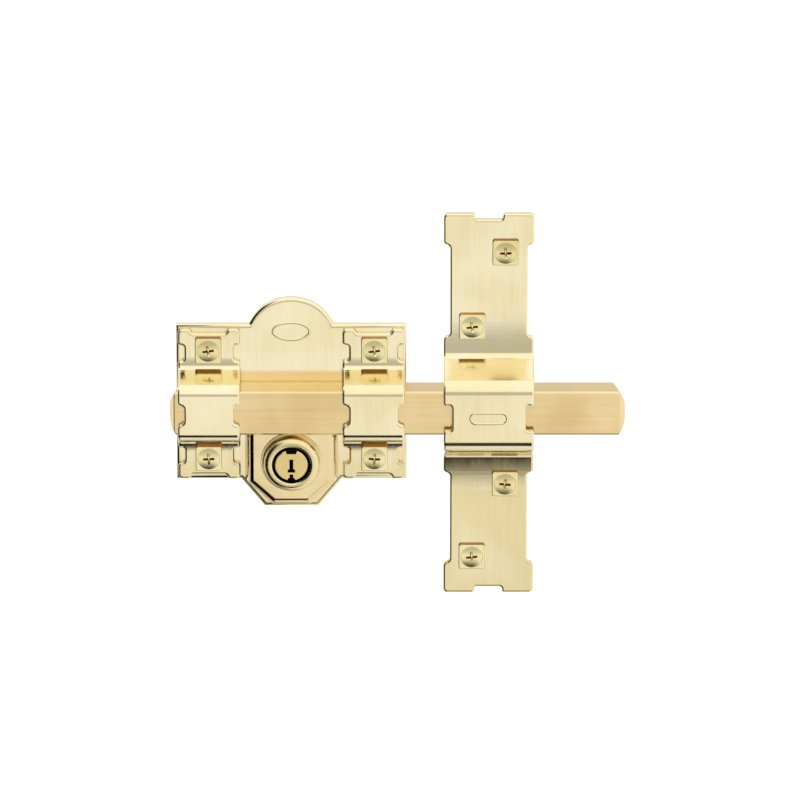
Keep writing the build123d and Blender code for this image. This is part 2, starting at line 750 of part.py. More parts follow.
with BuildPart() as cylinder_screws:
    head_height = SHELL_SCREW_HEAD - SHELL_SCREW_RADIUS
    for side in (-1, 1):
        with BuildSketch(section(side * SHELL_SCREW_X, SHELL_SCREW_Z)):
            with BuildLine():
                Polyline(
                    (PLATE_SHEET, 0),
                    (PLATE_SHEET, SHELL_SCREW_HEAD),
                    (PLATE_SHEET - head_height, SHELL_SCREW_RADIUS),
                    (PLATE_SHEET - SHELL_SCREW_LENGTH, SHELL_SCREW_RADIUS),
                    (PLATE_SHEET - SHELL_SCREW_LENGTH, 0),
                    close=True,
                )
            make_face()
        revolve(axis=Axis((side * SHELL_SCREW_X, 0, SHELL_SCREW_Z), (0, 1, 0)))
    with BuildSketch(front(PLATE_SHEET)):
        with Locations([(side * SHELL_SCREW_X, SHELL_SCREW_Z) for side in (-1, 1)]):
            Rectangle(SHELL_SCREW_SLOT, 2 * SHELL_SCREW_HEAD)
    extrude(amount=-SHELL_SCREW_SLOT, mode=Mode.SUBTRACT)


with BuildPart() as gear_washer:
    with BuildSketch(front(PLATE_SHEET)):
        with Locations((0, LOCK_Z)):
            Circle(WASHER_RADIUS)
            Circle(PLUG_HOLE_RADIUS, mode=Mode.SUBTRACT)
    extrude(amount=WASHER_THICKNESS)


with BuildPart() as plug_clip:
    with BuildSketch(front(-SHELL_LENGTH - RUNNING_FIT)):
        with Locations((0, LOCK_Z)):
            Circle(CLIP_RADIUS)
            Circle(PLUG_GROOVE_RADIUS, mode=Mode.SUBTRACT)
            with Locations((0, CLIP_RADIUS)):
                Rectangle(PLUG_GROOVE_RADIUS, 2 * CLIP_RADIUS, mode=Mode.SUBTRACT)
    extrude(amount=-CLIP_THICKNESS)


# Tumblers ---------------------------------------------------------------------------------------


def tumbler(number, profile):
    """Turned pin from (radius, distance below the cylinder's axis) points."""
    depth = pin_depth(number)
    with BuildPart() as pin:
        with BuildSketch(Plane(origin=(0, -depth, LOCK_Z), x_dir=(1, 0, 0), z_dir=(0, -1, 0))):
            with BuildLine():
                Polyline([(radius, -below) for radius, below in profile], close=True)
            make_face()
        revolve(axis=Axis((0, -depth, LOCK_Z), (0, 0, 1)))
    return pin


def key_pin(number):
    """Pin with a cone that rests in a cut of the key."""
    tip = KEY_PIN_END - KEY_PIN_LENGTHS[number]
    return tumbler(
        number,
        [
            (0, tip),
            (KEY_PIN_TIP_RADIUS, tip),
            (PIN_RADIUS, tip + KEY_PIN_CONE),
            (PIN_RADIUS, KEY_PIN_END),
            (0, KEY_PIN_END),
        ],
    )


def driver_pin(number):
    """Plain pin between the key pin and its spring."""
    end = DRIVER_TOP + DRIVER_LENGTH
    return tumbler(
        number,
        [(0, DRIVER_TOP), (PIN_RADIUS, DRIVER_TOP), (PIN_RADIUS, end), (0, end)],
    )


def pin_spring(number):
    """Coil spring between the driver pin and the chamber plug."""
    top = DRIVER_TOP + DRIVER_LENGTH + SPRING_WIRE
    bottom = CHAMBER_PLUG_TOP - SPRING_WIRE
    height = bottom - top
    start = Vector(0, -pin_depth(number), LOCK_Z - bottom)
    with BuildPart() as spring:
        with BuildLine():
            coil = Helix(height / SPRING_TURNS, height, SPRING_RADIUS, center=start)
        with BuildSketch(Plane(origin=coil @ 0, z_dir=coil % 0)):
            Circle(SPRING_WIRE)
        sweep(path=coil, is_frenet=True)
    return spring


with BuildPart() as chamber_plugs:
    with Locations(
        [
            Location((0, -pin_depth(number), LOCK_Z - CHAMBER_PLUG_TOP), (180, 0, 0))
            for number in range(PIN_COUNT)
        ]
    ):
        Cylinder(PIN_BORE_RADIUS, CHAMBER_PLUG_LENGTH, align=(Align.CENTER, Align.CENTER, Align.MIN))


pieces = {
    "base_plate": base_plate,
    "left_strap": left_strap,
    "right_strap": right_strap,
    "keeper_strap": keeper_strap,
    "bolt_bar": bolt_bar,
    "body_collars": body_collars,
    "keeper_collars": keeper_collars,
    "body_screws": body_screws,
    "keeper_screws": keeper_screws,
    "lock_housing": lock_housing,
    "rosette": rosette,
    "drive_gear": drive_gear,
    "gear_washer": gear_washer,
    "key_plug": key_plug,
    "plug_clip": plug_clip,
    "cylinder_shell": cylinder_shell,
    "cylinder_screws": cylinder_screws,
    "chamber_plugs": chamber_plugs,
}
for number in range(PIN_COUNT):
    pieces[f"key_pin_{number + 1}"] = key_pin(number)
    pieces[f"driver_pin_{number + 1}"] = driver_pin(number)
    pieces[f"pin_spring_{number + 1}"] = pin_spring(number)

os.makedirs("parts", exist_ok=True)
for name, piece in pieces.items():
    piece.part.label = name
    export_step(piece.part, f"parts/{name}.step")
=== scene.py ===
"""Looks of the rim sliding bolt: finer meshes, metal materials, studio and camera, in metres.

Outlines are lists of complex numbers, counter-clockwise as seen from the front.
A flat piece is drawn as (x, up, height over its back) and then placed in the lock's frame.
"Depth" is the distance in front of the door, along -Y.
"""

import bmesh
import bpy
import cmath
import math
from mathutils import Matrix, Vector


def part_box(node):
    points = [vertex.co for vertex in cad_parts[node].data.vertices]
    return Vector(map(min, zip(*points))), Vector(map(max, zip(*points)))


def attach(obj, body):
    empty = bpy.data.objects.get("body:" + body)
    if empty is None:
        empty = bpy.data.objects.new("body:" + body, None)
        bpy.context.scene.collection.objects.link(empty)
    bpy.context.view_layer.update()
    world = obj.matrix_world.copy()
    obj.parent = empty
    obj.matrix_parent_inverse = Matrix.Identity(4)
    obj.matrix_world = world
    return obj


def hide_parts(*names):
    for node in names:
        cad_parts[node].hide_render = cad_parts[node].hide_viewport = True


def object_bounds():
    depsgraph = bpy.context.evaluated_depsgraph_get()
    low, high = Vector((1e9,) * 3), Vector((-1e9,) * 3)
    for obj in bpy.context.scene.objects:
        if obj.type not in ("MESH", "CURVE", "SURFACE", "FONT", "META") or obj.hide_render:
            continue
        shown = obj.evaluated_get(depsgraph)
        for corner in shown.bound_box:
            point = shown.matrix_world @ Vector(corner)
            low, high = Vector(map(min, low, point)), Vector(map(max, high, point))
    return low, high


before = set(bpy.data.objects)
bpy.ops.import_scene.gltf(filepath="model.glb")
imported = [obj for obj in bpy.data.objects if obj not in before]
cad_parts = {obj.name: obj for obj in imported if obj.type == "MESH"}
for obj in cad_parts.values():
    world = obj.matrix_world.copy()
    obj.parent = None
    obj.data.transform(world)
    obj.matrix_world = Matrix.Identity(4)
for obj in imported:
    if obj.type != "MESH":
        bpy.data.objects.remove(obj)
cad_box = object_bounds()

# Sizes ------------------------------------------------------------------------------------------

plate_low, plate_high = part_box("base_plate")
strap_low, strap_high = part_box("left_strap")
keeper_low, keeper_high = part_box("keeper_strap")
bar_low, bar_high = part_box("bolt_bar")
gear_low, gear_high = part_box("drive_gear")

LOCK_CENTRE = complex(0, (gear_low.z + gear_high.z) / 2)

PLATE_SHEET = 0.0025
PLATE_TOP = 0.0363
PLATE_BOTTOM = -0.0353
PLATE_RIM = (0.0019, 0.0012)
DOME_RADIUS = 0.020
SKIRT_TOP_HALF = 0.022
SKIRT_BOTTOM_HALF = 0.0118
PLATE_OPENING = 0.0065
BACK_RIM = 0.00012
CORNER_ROUND = 0.002

STRAP_SHEET = 0.0022
STRAP_INNER_HALF = 0.01045
STRAP_SLOPE = math.radians(20)
STRAP_ROUNDS = (0.0047, 0.0026)
STRAP_EASE = (0.0045, math.radians(7))
STRAP_RIM = (0.0012, 0.0008)
# Notches: half mouth, half floor, depth, with the place along the edge in front where there are more
NOTCH_DEPTH = 0.0028
HUMP_NOTCH = (0, 0.0062, 0.0026, NOTCH_DEPTH)
FOOT_NOTCHES = [(place, 0.005, 0.0023, NOTCH_DEPTH) for place in (-0.0236, 0.0236)]
END_NOTCH = (0.0093, 0.0065, 0.002)

KEEPER_SHEET = 0.0025
KEEPER_INNER_HALF = 0.0132
KEEPER_SLOPE = math.radians(26)
KEEPER_ROUNDS = (0.006, 0.0042)
KEEPER_EASE = (0.02, math.radians(6))
KEEPER_RIM = (0.0011, 0.0008)
KEEPER_HUMP_NOTCH = (0, 0.007, 0.0046, 0.0036)
KEEPER_WAISTS = [(place, 0.0229, 0.0191, 0.0028) for place in (-0.0525, 0.0525)]
KEEPER_END_NOTCH = (0.0072, 0.0048, 0.0027)

EMBLEM_HEIGHT = 0.0003
EMBLEM_LINE = 0.0011
PLATE_EMBLEM_UP = 0.033
PLATE_EMBLEM_SIZE = (0.0085, 0.0045)
KEEPER_EMBLEM_REACH = 0.0055
KEEPER_EMBLEM_ROUND = 0.003

COLLAR_SIZE = 0.0114
COLLAR_HEIGHT = 0.0018
COLLAR_RIM = (0.0004, 0.0004)
COLLAR_ROUND = 0.0011
SHANK_RADIUS = 0.004
FLARE_RADIUS = 0.0048
FLARE_DEPTH = 0.0008
COLLAR_BORE = 0.0027
SCREW_HEAD = 0.0047
SCREW_PROUD = 0.00025
SCREW_LENGTH = 0.035
BODY_COLLARS = [
    complex(side * 0.036, 0.00035 + level * 0.02495)
    for side in (-1, 1)
    for level in (-1, 1)
]
keeper_middle = complex((keeper_low.x + keeper_high.x) / 2, (keeper_low.z + keeper_high.z) / 2)
KEEPER_COLLARS = [
    keeper_middle + complex(side * 0.0072, level)
    for side, level in ((1, 0.0704), (-1, 0.0364), (1, -0.0364), (-1, -0.0704))
]

BAR_EDGE = 0.0008
BAR_END_RADIUS = 0.020
BAR_END_AXIS = -0.0035
RACK_MODULE = 0.001
RACK_SPACING = math.pi * RACK_MODULE
RACK_PLAY = 0.00008
RACK_FRONT = 0.0082

HOUSING_FACE = 0.011
HOUSING_HALF = 0.0186
HOUSING_SHOULDER = -0.0341
HOUSING_FOOT_HALF = 0.0081
HOUSING_BOTTOM = -0.044
HOUSING_DRAFT = math.radians(11)
HOUSING_SHEET = 0.0016
HOUSING_EDGE = 0.0036
HOUSING_CORNER = 0.0012

ROSETTE_SPIGOT = 0.0094
ROSETTE_BACK = 0.0086
ROSETTE_FLOOR = 0.0122
ROSETTE_MOUTH = 0.0084

PLUG_RADIUS = 0.0071
PLUG_FACE = 0.0162
PLUG_SEAT = (0.0034, 0.0076)
PLUG_SEAT_RADIUS = 0.00695
PLUG_SEAT_FLAT = 0.0063
PLUG_BARREL = 0.00625
PLUG_TAIL = -0.0236
CLIP_GROOVE = (-0.022, -0.021)
CLIP_GROOVE_RADIUS = 0.0052
KEYWAY_WIDTH = 0.00165
KEYWAY_DEPTH = 0.014

# Outlines ---------------------------------------------------------------------------------------


def neighbours(outline):
    """Each point of a closed outline with the one before and the one after."""
    return zip(outline[-1:] + outline[:-1], outline, outline[1:] + outline[:1])


def tangent_arc(start, heading, end, steps):
    """Points of the arc that leaves start along heading and reaches end, without start."""
    chord = end - start
    bend = cmath.phase(chord / heading)
    unit = heading / abs(heading)
    turns = [bend * step / steps for step in range(1, steps + 1)]
    return [start + unit * cmath.exp(1j * t) * abs(chord) * math.sin(t) / math.sin(bend) for t in turns]


def round_corners(outline, radius, steps=6):
    """The outline with its corners turned into arcs; the small turns of a curve stay."""
    rounded = []
    for before, corner, after in neighbours(outline):
        into = (corner - before) / abs(corner - before)
        out = (after - corner) / abs(after - corner)
        turn = cmath.phase(out / into)
        if abs(turn) < math.radians(20):
            rounded.append(corner)
            continue
        setback = radius * math.tan(abs(turn) / 2)
        start = corner - into * setback
        rounded += [start] + tangent_arc(start, into, corner + out * setback, steps)
    return rounded


def inset(outline, distance):
    """The outline moved inwards."""
    moved = []
    for before, point, after in neighbours(outline):
        into = (point - before) / abs(point - before)
        out = (after - point) / abs(after - point)
        bisector = 1j * (into + out)
        moved.append(point + 2 * distance * bisector / abs(bisector) ** 2)
    return moved


def circle(centre, radius, steps=64):
    return [centre + cmath.rect(radius, 2 * math.pi * step / steps) for step in range(steps)]


def rectangle(centre, width, height):
    corners = ((-1, -1), (1, -1), (1, 1), (-1, 1))
    return [centre + complex(x * width / 2, z * height / 2) for x, z in corners]


def notched_edge(start, end, notches):
    """Straight edge with S-sided notches to its left: (centre, mouth, floor, depth) each."""
    ahead = (end - start) / abs(end - start)
    points = [start]
    for centre, mouth, floor, depth in notches:
        middle = complex(-(mouth + floor) / 2, depth / 2)
        entry = [complex(-mouth, 0)] + tangent_arc(complex(-mouth, 0), 1, middle, 8)
        side = entry + [2 * middle - point for point in reversed(entry[:-1])]
        other_side = [-point.conjugate() for point in reversed(side)]
        points += [start + ahead * (centre + point) for point in side + other_side]
    return points


# Meshes -----------------------------------------------------------------------------------------


def bridge_loops(bm, loops):
    """Joins closed loops of vertices, one after the other, with four-sided faces."""
    for lower, upper in zip(loops, loops[1:]):
        for step in range(len(lower)):
            after = (step + 1) % len(lower)
            bm.faces.new((lower[step], lower[after], upper[after], upper[step]))


def loft(bm, levels):
    """Adds a solid through closed outlines, (outline, height) each, from the back to the front."""
    loops = [[bm.verts.new((p.real, p.imag, height)) for p in outline] for outline, height in levels]
    bridge_loops(bm, loops)
    bm.faces.new(reversed(loops[0]))
    bm.faces.new(loops[-1])


def slab(outline, thickness, rim, steps=7):
    """Flat solid with a rounded front rim, (width, drop), and a barely broken back edge."""
    width, drop = rim
    levels = [(BACK_RIM, 0), (0, BACK_RIM)]
    for step in range(steps + 1):
        angle = math.pi / 2 * step / steps
        levels.append((width * (1 - math.cos(angle)), thickness - drop * (1 - math.sin(angle))))
    bm = bmesh.new()
    loft(bm, [(inset(outline, distance), height) for distance, height in levels])
    return bm


def prism(bm, outline, low, high):
    """Adds a plain straight-sided solid."""
    loft(bm, [(outline, low), (outline, high)])


def lathe(bm, profile, centre=0j, steps=96, closed=False):
    """Adds a turned solid: profile points are (radius, height), from the back to the front."""
    rings = []
    for radius, height in profile:
        if radius < 1e-7:
            rings.append([bm.verts.new((centre.real, centre.imag, height))])
        else:
            ring = circle(centre, radius, steps)
            rings.append([bm.verts.new((p.real, p.imag, height)) for p in ring])
    if closed:
        rings.append(rings[0])
    for lower, upper in zip(rings, rings[1:]):
        for step in range(steps):
            after = (step + 1) % steps
            if len(lower) == 1:
                bm.faces.new((lower[0], upper[after], upper[step]))
            elif len(upper) == 1:
                bm.faces.new((lower[step], lower[after], upper[0]))
            else:
                bm.faces.new((lower[step], lower[after], upper[after], upper[step]))


def turned(points):
    """Profile for lathe() from complex points: real is the radius, imaginary the height."""
    return [(point.real, point.imag) for point in points]


def place_front(bm):
    """Stands a flat drawing in front of the door: height becomes depth."""
    for vert in bm.verts:
        vert.co = Vector((vert.co.x, -vert.co.z, vert.co.y))


def join(bm, other):
    """Adds another drawing to this one."""
    mesh = bpy.data.meshes.new("joined")
    other.to_mesh(mesh)
    other.free()
    bm.from_mesh(mesh)
    bpy.data.meshes.remove(mesh)


def boolean(bm, tool, operation="DIFFERENCE"):
    """Cuts the tool from the drawing, or unites the two, and returns the new drawing."""
    objects = []
    for drawing in (bm, tool):
        mesh = bpy.data.meshes.new("operand")
        drawing.to_mesh(mesh)
        drawing.free()
        objects.append(bpy.data.objects.new("operand", mesh))
        bpy.context.scene.collection.objects.link(objects[-1])
    base, cutter = objects
    modifier = base.modifiers.new("boolean", "BOOLEAN")
    modifier.operation = operation
    modifier.solver = "EXACT"
    modifier.object = cutter
    modifier.use_self = True
    graph = bpy.context.evaluated_depsgraph_get()
    result = bpy.data.meshes.new_from_object(base.evaluated_get(graph))
    made = bmesh.new()
    made.from_mesh(result)
    for obj in objects:
        bpy.data.meshes.remove(obj.data)
    bpy.data.meshes.remove(result)
    return made


def piece(name, bm, materials, body="lock_body", sharp=35):
    """Makes a smooth-shaded object that rides on a body and stands for its CAD node."""
    bmesh.ops.remove_doubles(bm, verts=bm.verts, dist=1e-7)
    bmesh.ops.recalc_face_normals(bm, faces=bm.faces)
    mesh = bpy.data.meshes.new(name)
    bm.to_mesh(mesh)
    bm.free()
    for material in materials:
        mesh.materials.append(material)
    mesh.shade_smooth()
    mesh.set_sharp_from_angle(angle=math.radians(sharp))
    obj = bpy.data.objects.new(name, mesh)
    bpy.context.scene.collection.objects.link(obj)
    weighted = obj.modifiers.new("flat_faces_stay_flat", "WEIGHTED_NORMAL")
    weighted.keep_sharp = True
    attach(obj, body)
    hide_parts(name.removesuffix("_finish"))
    return obj


# Materials --------------------------------------------------------------------------------------

# Heights between which the sheets' plating turns to its low-end colour
LOW_END = (-0.004, -0.032)


class Nodes:
    """Short way to build the node tree of a material or a world."""

    def __init__(self, owner):
        owner.use_nodes = True
        self.owner = owner
        self.tree = owner.node_tree
        self.shader = self.tree.nodes.get("Principled BSDF") or self.tree.nodes["Background"]
        self.place = self.add("ShaderNodeTexCoord").outputs["Object"]

    def add(self, kind, inputs=None, **settings):
        node = self.tree.nodes.new(kind)
        for key, value in settings.items():
            setattr(node, key, value)
        for key, value in (inputs or {}).items():
            self.feed(node.inputs[key], value)
        return node

    def feed(self, socket, value):
        if isinstance(value, bpy.types.NodeSocket):
            self.tree.links.new(value, socket)
        else:
            socket.default_value = value

    def math(self, operation, a, b=0.0):
        return self.add("ShaderNodeMath", {0: a, 1: b}, operation=operation).outputs[0]

    def noise(self, scale, detail=3.0, stretch=(1, 1, 1)):
        spot = self.add("ShaderNodeMapping", {"Vector": self.place, "Scale": stretch}).outputs[0]
        wanted = {"Vector": spot, "Scale": scale, "Detail": detail}
        return self.add("ShaderNodeTexNoise", wanted).outputs["Fac"]

    def span(self, value, low, high, to_low, to_high):
        wanted = {"Value": value, 1: low, 2: high, 3: to_low, 4: to_high}
        return self.add("ShaderNodeMapRange", wanted).outputs["Result"]

    def mix(self, factor, a, b):
        node = self.add("ShaderNodeMix", data_type="RGBA")
        self.feed(node.inputs[0], factor)
        self.feed(node.inputs[6], a)
        self.feed(node.inputs[7], b)
        return node.outputs[2]

    def bump(self, height, distance, normal=None):
        node = self.add("ShaderNodeBump", {"Height": height, "Distance": distance, "Strength": 1})
        if normal is not None:
            self.feed(node.inputs["Normal"], normal)
        return node.outputs["Normal"]


def rgb(red, green, blue):
    """Linear colour from the 0..255 values that a screen shows."""
    return [((value / 255 + 0.055) / 1.055) ** 2.4 for value in (red, green, blue)] + [1]


def plated_metal(name, colour, deep, roughness, grain, grain_bump, wave_bump, wear, low_end=None):
    """Polished and plated brass: soft waves, fine polishing grain, small colour drift, rubbed edges.

    The colour drifts towards deep.  grain stretches the polishing lines along one axis, the bumps are
    depths in metres, and low_end is the colour that the plating turns to below the bar, darker towards the
    bottom.
    """
    n = Nodes(bpy.data.materials.new(name))
    drift = n.noise(35, 2)
    streaks = n.noise(900, 4, grain)
    specks = n.noise(2600, 2)
    edge = n.add("ShaderNodeNewGeometry").outputs["Pointiness"]
    rubbed = n.math("MULTIPLY", n.span(edge, 0.51, 0.56, 0, 1), wear)
    tint = n.mix(n.span(drift, 0.35, 0.65, 0, 1), colour, deep)
    if low_end:
        height = n.add("ShaderNodeSeparateXYZ", {"Vector": n.place}).outputs["Z"]
        tint = n.mix(n.span(height, *LOW_END, 0, 1), tint, low_end)
    pale = [min(1, 0.4 + 0.6 * value) for value in colour[:3]] + [1]
    n.feed(n.shader.inputs["Base Color"], n.mix(rubbed, tint, pale))
    n.shader.inputs["Metallic"].default_value = 1
    uneven = n.math("ADD", n.span(streaks, 0.3, 0.7, -0.03, 0.03), n.span(drift, 0.3, 0.7, -0.02, 0.03))
    n.feed(n.shader.inputs["Roughness"], n.math("ADD", uneven, roughness))
    waves = n.bump(n.noise(60, 1), wave_bump)
    lines = n.bump(streaks, grain_bump, normal=waves)
    n.feed(n.shader.inputs["Normal"], n.bump(specks, grain_bump / 3, normal=lines))
    return n.owner


sheet_gold = plated_metal(
    "sheet_gold",
    rgb(243, 231, 193),
    rgb(240, 225, 178),
    roughness=0.13,
    grain=(1, 1, 0.06),
    grain_bump=4e-6,
    wave_bump=6e-5,
    wear=0.25,
    low_end=rgb(231, 214, 164),
)
housing_gold = plated_metal(
    "housing_gold",
    rgb(235, 214, 162),
    rgb(227, 202, 145),
    roughness=0.14,
    grain=(0.06, 1, 1),
    grain_bump=4e-6,
    wave_bump=5e-5,
    wear=0.25,
)
screw_gold = plated_metal(
    "screw_gold",
    rgb(243, 230, 175),
    rgb(237, 219, 152),
    roughness=0.17,
    grain=(1, 1, 1),
    grain_bump=8e-6,
    wave_bump=5e-5,
    wear=0.3,
)
# Painted shade: a darker brown, duller copy of the plating for the collars' sides and the screws' cross
# recesses.
shaded_side_gold = plated_metal(
    "shaded_side_gold",
    rgb(200, 152, 74),
    rgb(172, 122, 50),
    roughness=0.5,
    grain=(1, 1, 1),
    grain_bump=1e-5,
    wave_bump=4e-5,
    wear=0.1,
)
rosette_gold = plated_metal(
    "rosette_gold",
    rgb(240, 222, 172),
    rgb(235, 214, 158),
    roughness=0.24,
    grain=(1, 1, 1),
    grain_bump=4e-6,
    wave_bump=5e-5,
    wear=0.25,
)
bar_brass = plated_metal(
    "bar_brass",
    rgb(241, 214, 159),
    rgb(234, 204, 143),
    roughness=0.2,
    grain=(0.015, 1, 1),
    grain_bump=1e-5,
    wave_bump=3e-5,
    wear=0.2,
)
lock_brass = plated_metal(
    "lock_brass",
    rgb(230, 205, 127),
    rgb(220, 190, 108),
    roughness=0.22,
    grain=(1, 0.2, 1),
    grain_bump=8e-6,
    wave_bump=3e-5,
    wear=0.2,
)
spring_steel = plated_metal(
    "spring_steel",
    rgb(205, 206, 208),
    rgb(176, 178, 184),
    roughness=0.3,
    grain=(1, 1, 1),
    grain_bump=1e-5,
    wave_bump=2e-5,
    wear=0.2,
)


def painted_shade_material():
    """Painted shade: near-black, dull inside of the keyway and of the ring round the plug, with a mottle.
    """
    n = Nodes(bpy.data.materials.new("recess_painted_shade"))
    shade_mottle = n.noise(700, 4)
    n.feed(n.shader.inputs["Base Color"], n.mix(shade_mottle, rgb(16, 11, 7), rgb(6, 5, 4)))
    n.feed(n.shader.inputs["Roughness"], n.span(shade_mottle, 0.3, 0.7, 0.5, 0.8))
    n.shader.inputs["Specular IOR Level"].default_value = 0.15
    n.feed(n.shader.inputs["Normal"], n.bump(shade_mottle, 3e-5))
    return n.owner


recess_painted_shade = painted_shade_material()

# Bent sheets ------------------------------------------------------------------------------------


def along(path, start, distance):
    """Point and heading (depth + 1j * up) on a path of (length, turn) stretches, heading down."""
    point = start
    heading = -1j
    for length, turn in path:
        step = min(distance, length)
        swing = cmath.exp(1j * turn * step / length)
        if turn:
            point += heading * 1j * (length / turn) * (1 - swing)
        else:
            point += heading * step
        heading *= swing
        distance -= step
        if distance <= 0:
            break
    return point, heading


def bridge_path(back, inner_depth, inner_half, slope, half_height, rounds, ease):
    """Stretches of a bent strap's back surface, from its top end to its bottom end."""
    turn = math.pi / 2 - slope
    foot_round, top_round = rounds
    ease_length, ease_turn = ease
    foot = [(ease_length, ease_turn), (foot_round * (turn - ease_turn), turn - ease_turn)]
    foot_end, _ = along(foot, 0j, ease_length + foot[1][0])
    top_depth = top_round * (1 - math.cos(turn))
    top_up = top_round * math.sin(turn)
    wall = (inner_depth - back - foot_end.real - top_depth) / math.cos(slope)
    flat = inner_half - top_round * math.tan(turn / 2)
    end = half_height - flat - top_up - wall * math.sin(slope) + foot_end.imag
    half = [(end, 0), *foot, (wall, 0), (top_round * turn, -turn), (flat, 0)]
    return half + half[::-1]


def bend(bm, path, start, steps=10):
    """Bends a flat drawing (x, up, height) along a path; up 0 is the path's middle."""
    reach = sum(length for length, _ in path) / 2
    level = reach
    for length, turn in path:
        cuts = steps if turn else 1
        for cut in range(cuts + 1):
            height = level - length * cut / cuts
            everything = bm.verts[:] + bm.edges[:] + bm.faces[:]
            bmesh.ops.bisect_plane(
                bm, geom=everything, dist=1e-8, plane_co=(0, height, 0), plane_no=(0, 1, 0)
            )
        level -= length
    for vert in bm.verts:
        point, heading = along(path, start, reach - vert.co.y)
        spot = point + vert.co.z * heading * 1j
        vert.co = Vector((vert.co.x, -spot.real, spot.imag))


def raised_frame(bm, outline, base, height, line):
    """The flat drawing with a rounded ridge on its front that follows a closed outline."""
    ridge = bmesh.new()
    loops = []
    steps = 8
    for step in range(steps + 1):
        angle = math.pi * step / steps
        ring = inset(outline, line * (1 - math.cos(angle)) / 2)
        rise = base - height / 2 + 1.5 * height * math.sin(angle)
        loops.append([ridge.verts.new((p.real, p.imag, rise)) for p in ring])
    loops.append(loops[0])
    bridge_loops(ridge, loops)
    return boolean(bm, ridge, "UNION")


def strap_outline(half_width, half_length, side_notches, end_notch):
    """Closed outline of a strap before bending, with the same notches on both sides."""
    corners = rectangle(0, 2 * half_width, 2 * half_length)
    outline = []
    for number, corner in enumerate(corners):
        after = corners[(number + 1) % len(corners)]
        middle = abs(after - corner) / 2
        notches = side_notches if number % 2 else [(0, *end_notch)]
        outline += notched_edge(corner, after, [(middle + place, *sizes) for place, *sizes in notches])
    return round_corners(outline, CORNER_ROUND)


def strap(name, low, high, path, half_height, notches, end_notch, sheet, rim, back, holes, emblem=None):
    """Bent strap between the CAD node's left and right sides."""
    centre = complex((low.x + high.x) / 2, (low.z + high.z) / 2)
    reach = sum(length for length, _ in path) / 2
    stretch = reach - half_height
    side = [
        (math.copysign(abs(place) + stretch, place) if place else 0, *sizes)
        for place, *sizes in notches
    ]
    outline = strap_outline((high.x - low.x) / 2, reach, side, end_notch)
    bm = slab(outline, sheet, rim)
    cutters = bmesh.new()
    for hole in holes:
        spot = hole - centre
        spot += 1j * math.copysign(stretch, spot.imag)
        prism(cutters, circle(spot, SHANK_RADIUS, 32), -sheet, 2 * sheet)
    bm = boolean(bm, cutters)
    if emblem:
        bm = raised_frame(bm, emblem, sheet, EMBLEM_HEIGHT, EMBLEM_LINE)
    bend(bm, path, complex(back, half_height))
    bmesh.ops.translate(bm, verts=bm.verts, vec=(centre.real, 0, centre.imag))
    piece(name, bm, [sheet_gold])


def body_straps():
    """The two equal straps that bridge the bar on the plate."""
    half_height = strap_high.z
    inner = -strap_low.y - STRAP_SHEET
    path = bridge_path(
        PLATE_SHEET, inner, STRAP_INNER_HALF, STRAP_SLOPE, half_height, STRAP_ROUNDS, STRAP_EASE
    )
    lower, upper = FOOT_NOTCHES
    notches = [lower, HUMP_NOTCH, upper]
    for name in ("left_strap", "right_strap"):
        low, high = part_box(name)
        holes = [place for place in BODY_COLLARS if low.x < place.real < high.x]
        strap(
            f"{name}_finish", low, high, path, half_height, notches, END_NOTCH,
            STRAP_SHEET, STRAP_RIM, PLATE_SHEET, holes,
        )


def keeper():
    """The tall strap on the door frame, with a plain round-ended frame on its hump."""
    half_height = (keeper_high.z - keeper_low.z) / 2
    inner = -keeper_low.y - EMBLEM_HEIGHT - KEEPER_SHEET
    path = bridge_path(
        0, inner, KEEPER_INNER_HALF, KEEPER_SLOPE, half_height, KEEPER_ROUNDS, KEEPER_EASE
    )
    lower, upper = KEEPER_WAISTS
    notches = [lower, KEEPER_HUMP_NOTCH, upper]
    emblem = [
        side * (KEEPER_EMBLEM_REACH + cmath.rect(KEEPER_EMBLEM_ROUND, math.radians(turn)))
        for side in (1, -1)
        for turn in range(-90, 91, 15)
    ]
    strap(
        "keeper_strap_finish", keeper_low, keeper_high, path, half_height, notches, KEEPER_END_NOTCH,
        KEEPER_SHEET, KEEPER_RIM, 0, KEEPER_COLLARS, emblem,
    )


body_straps()
keeper()

# Base plate -------------------------------------------------------------------------------------


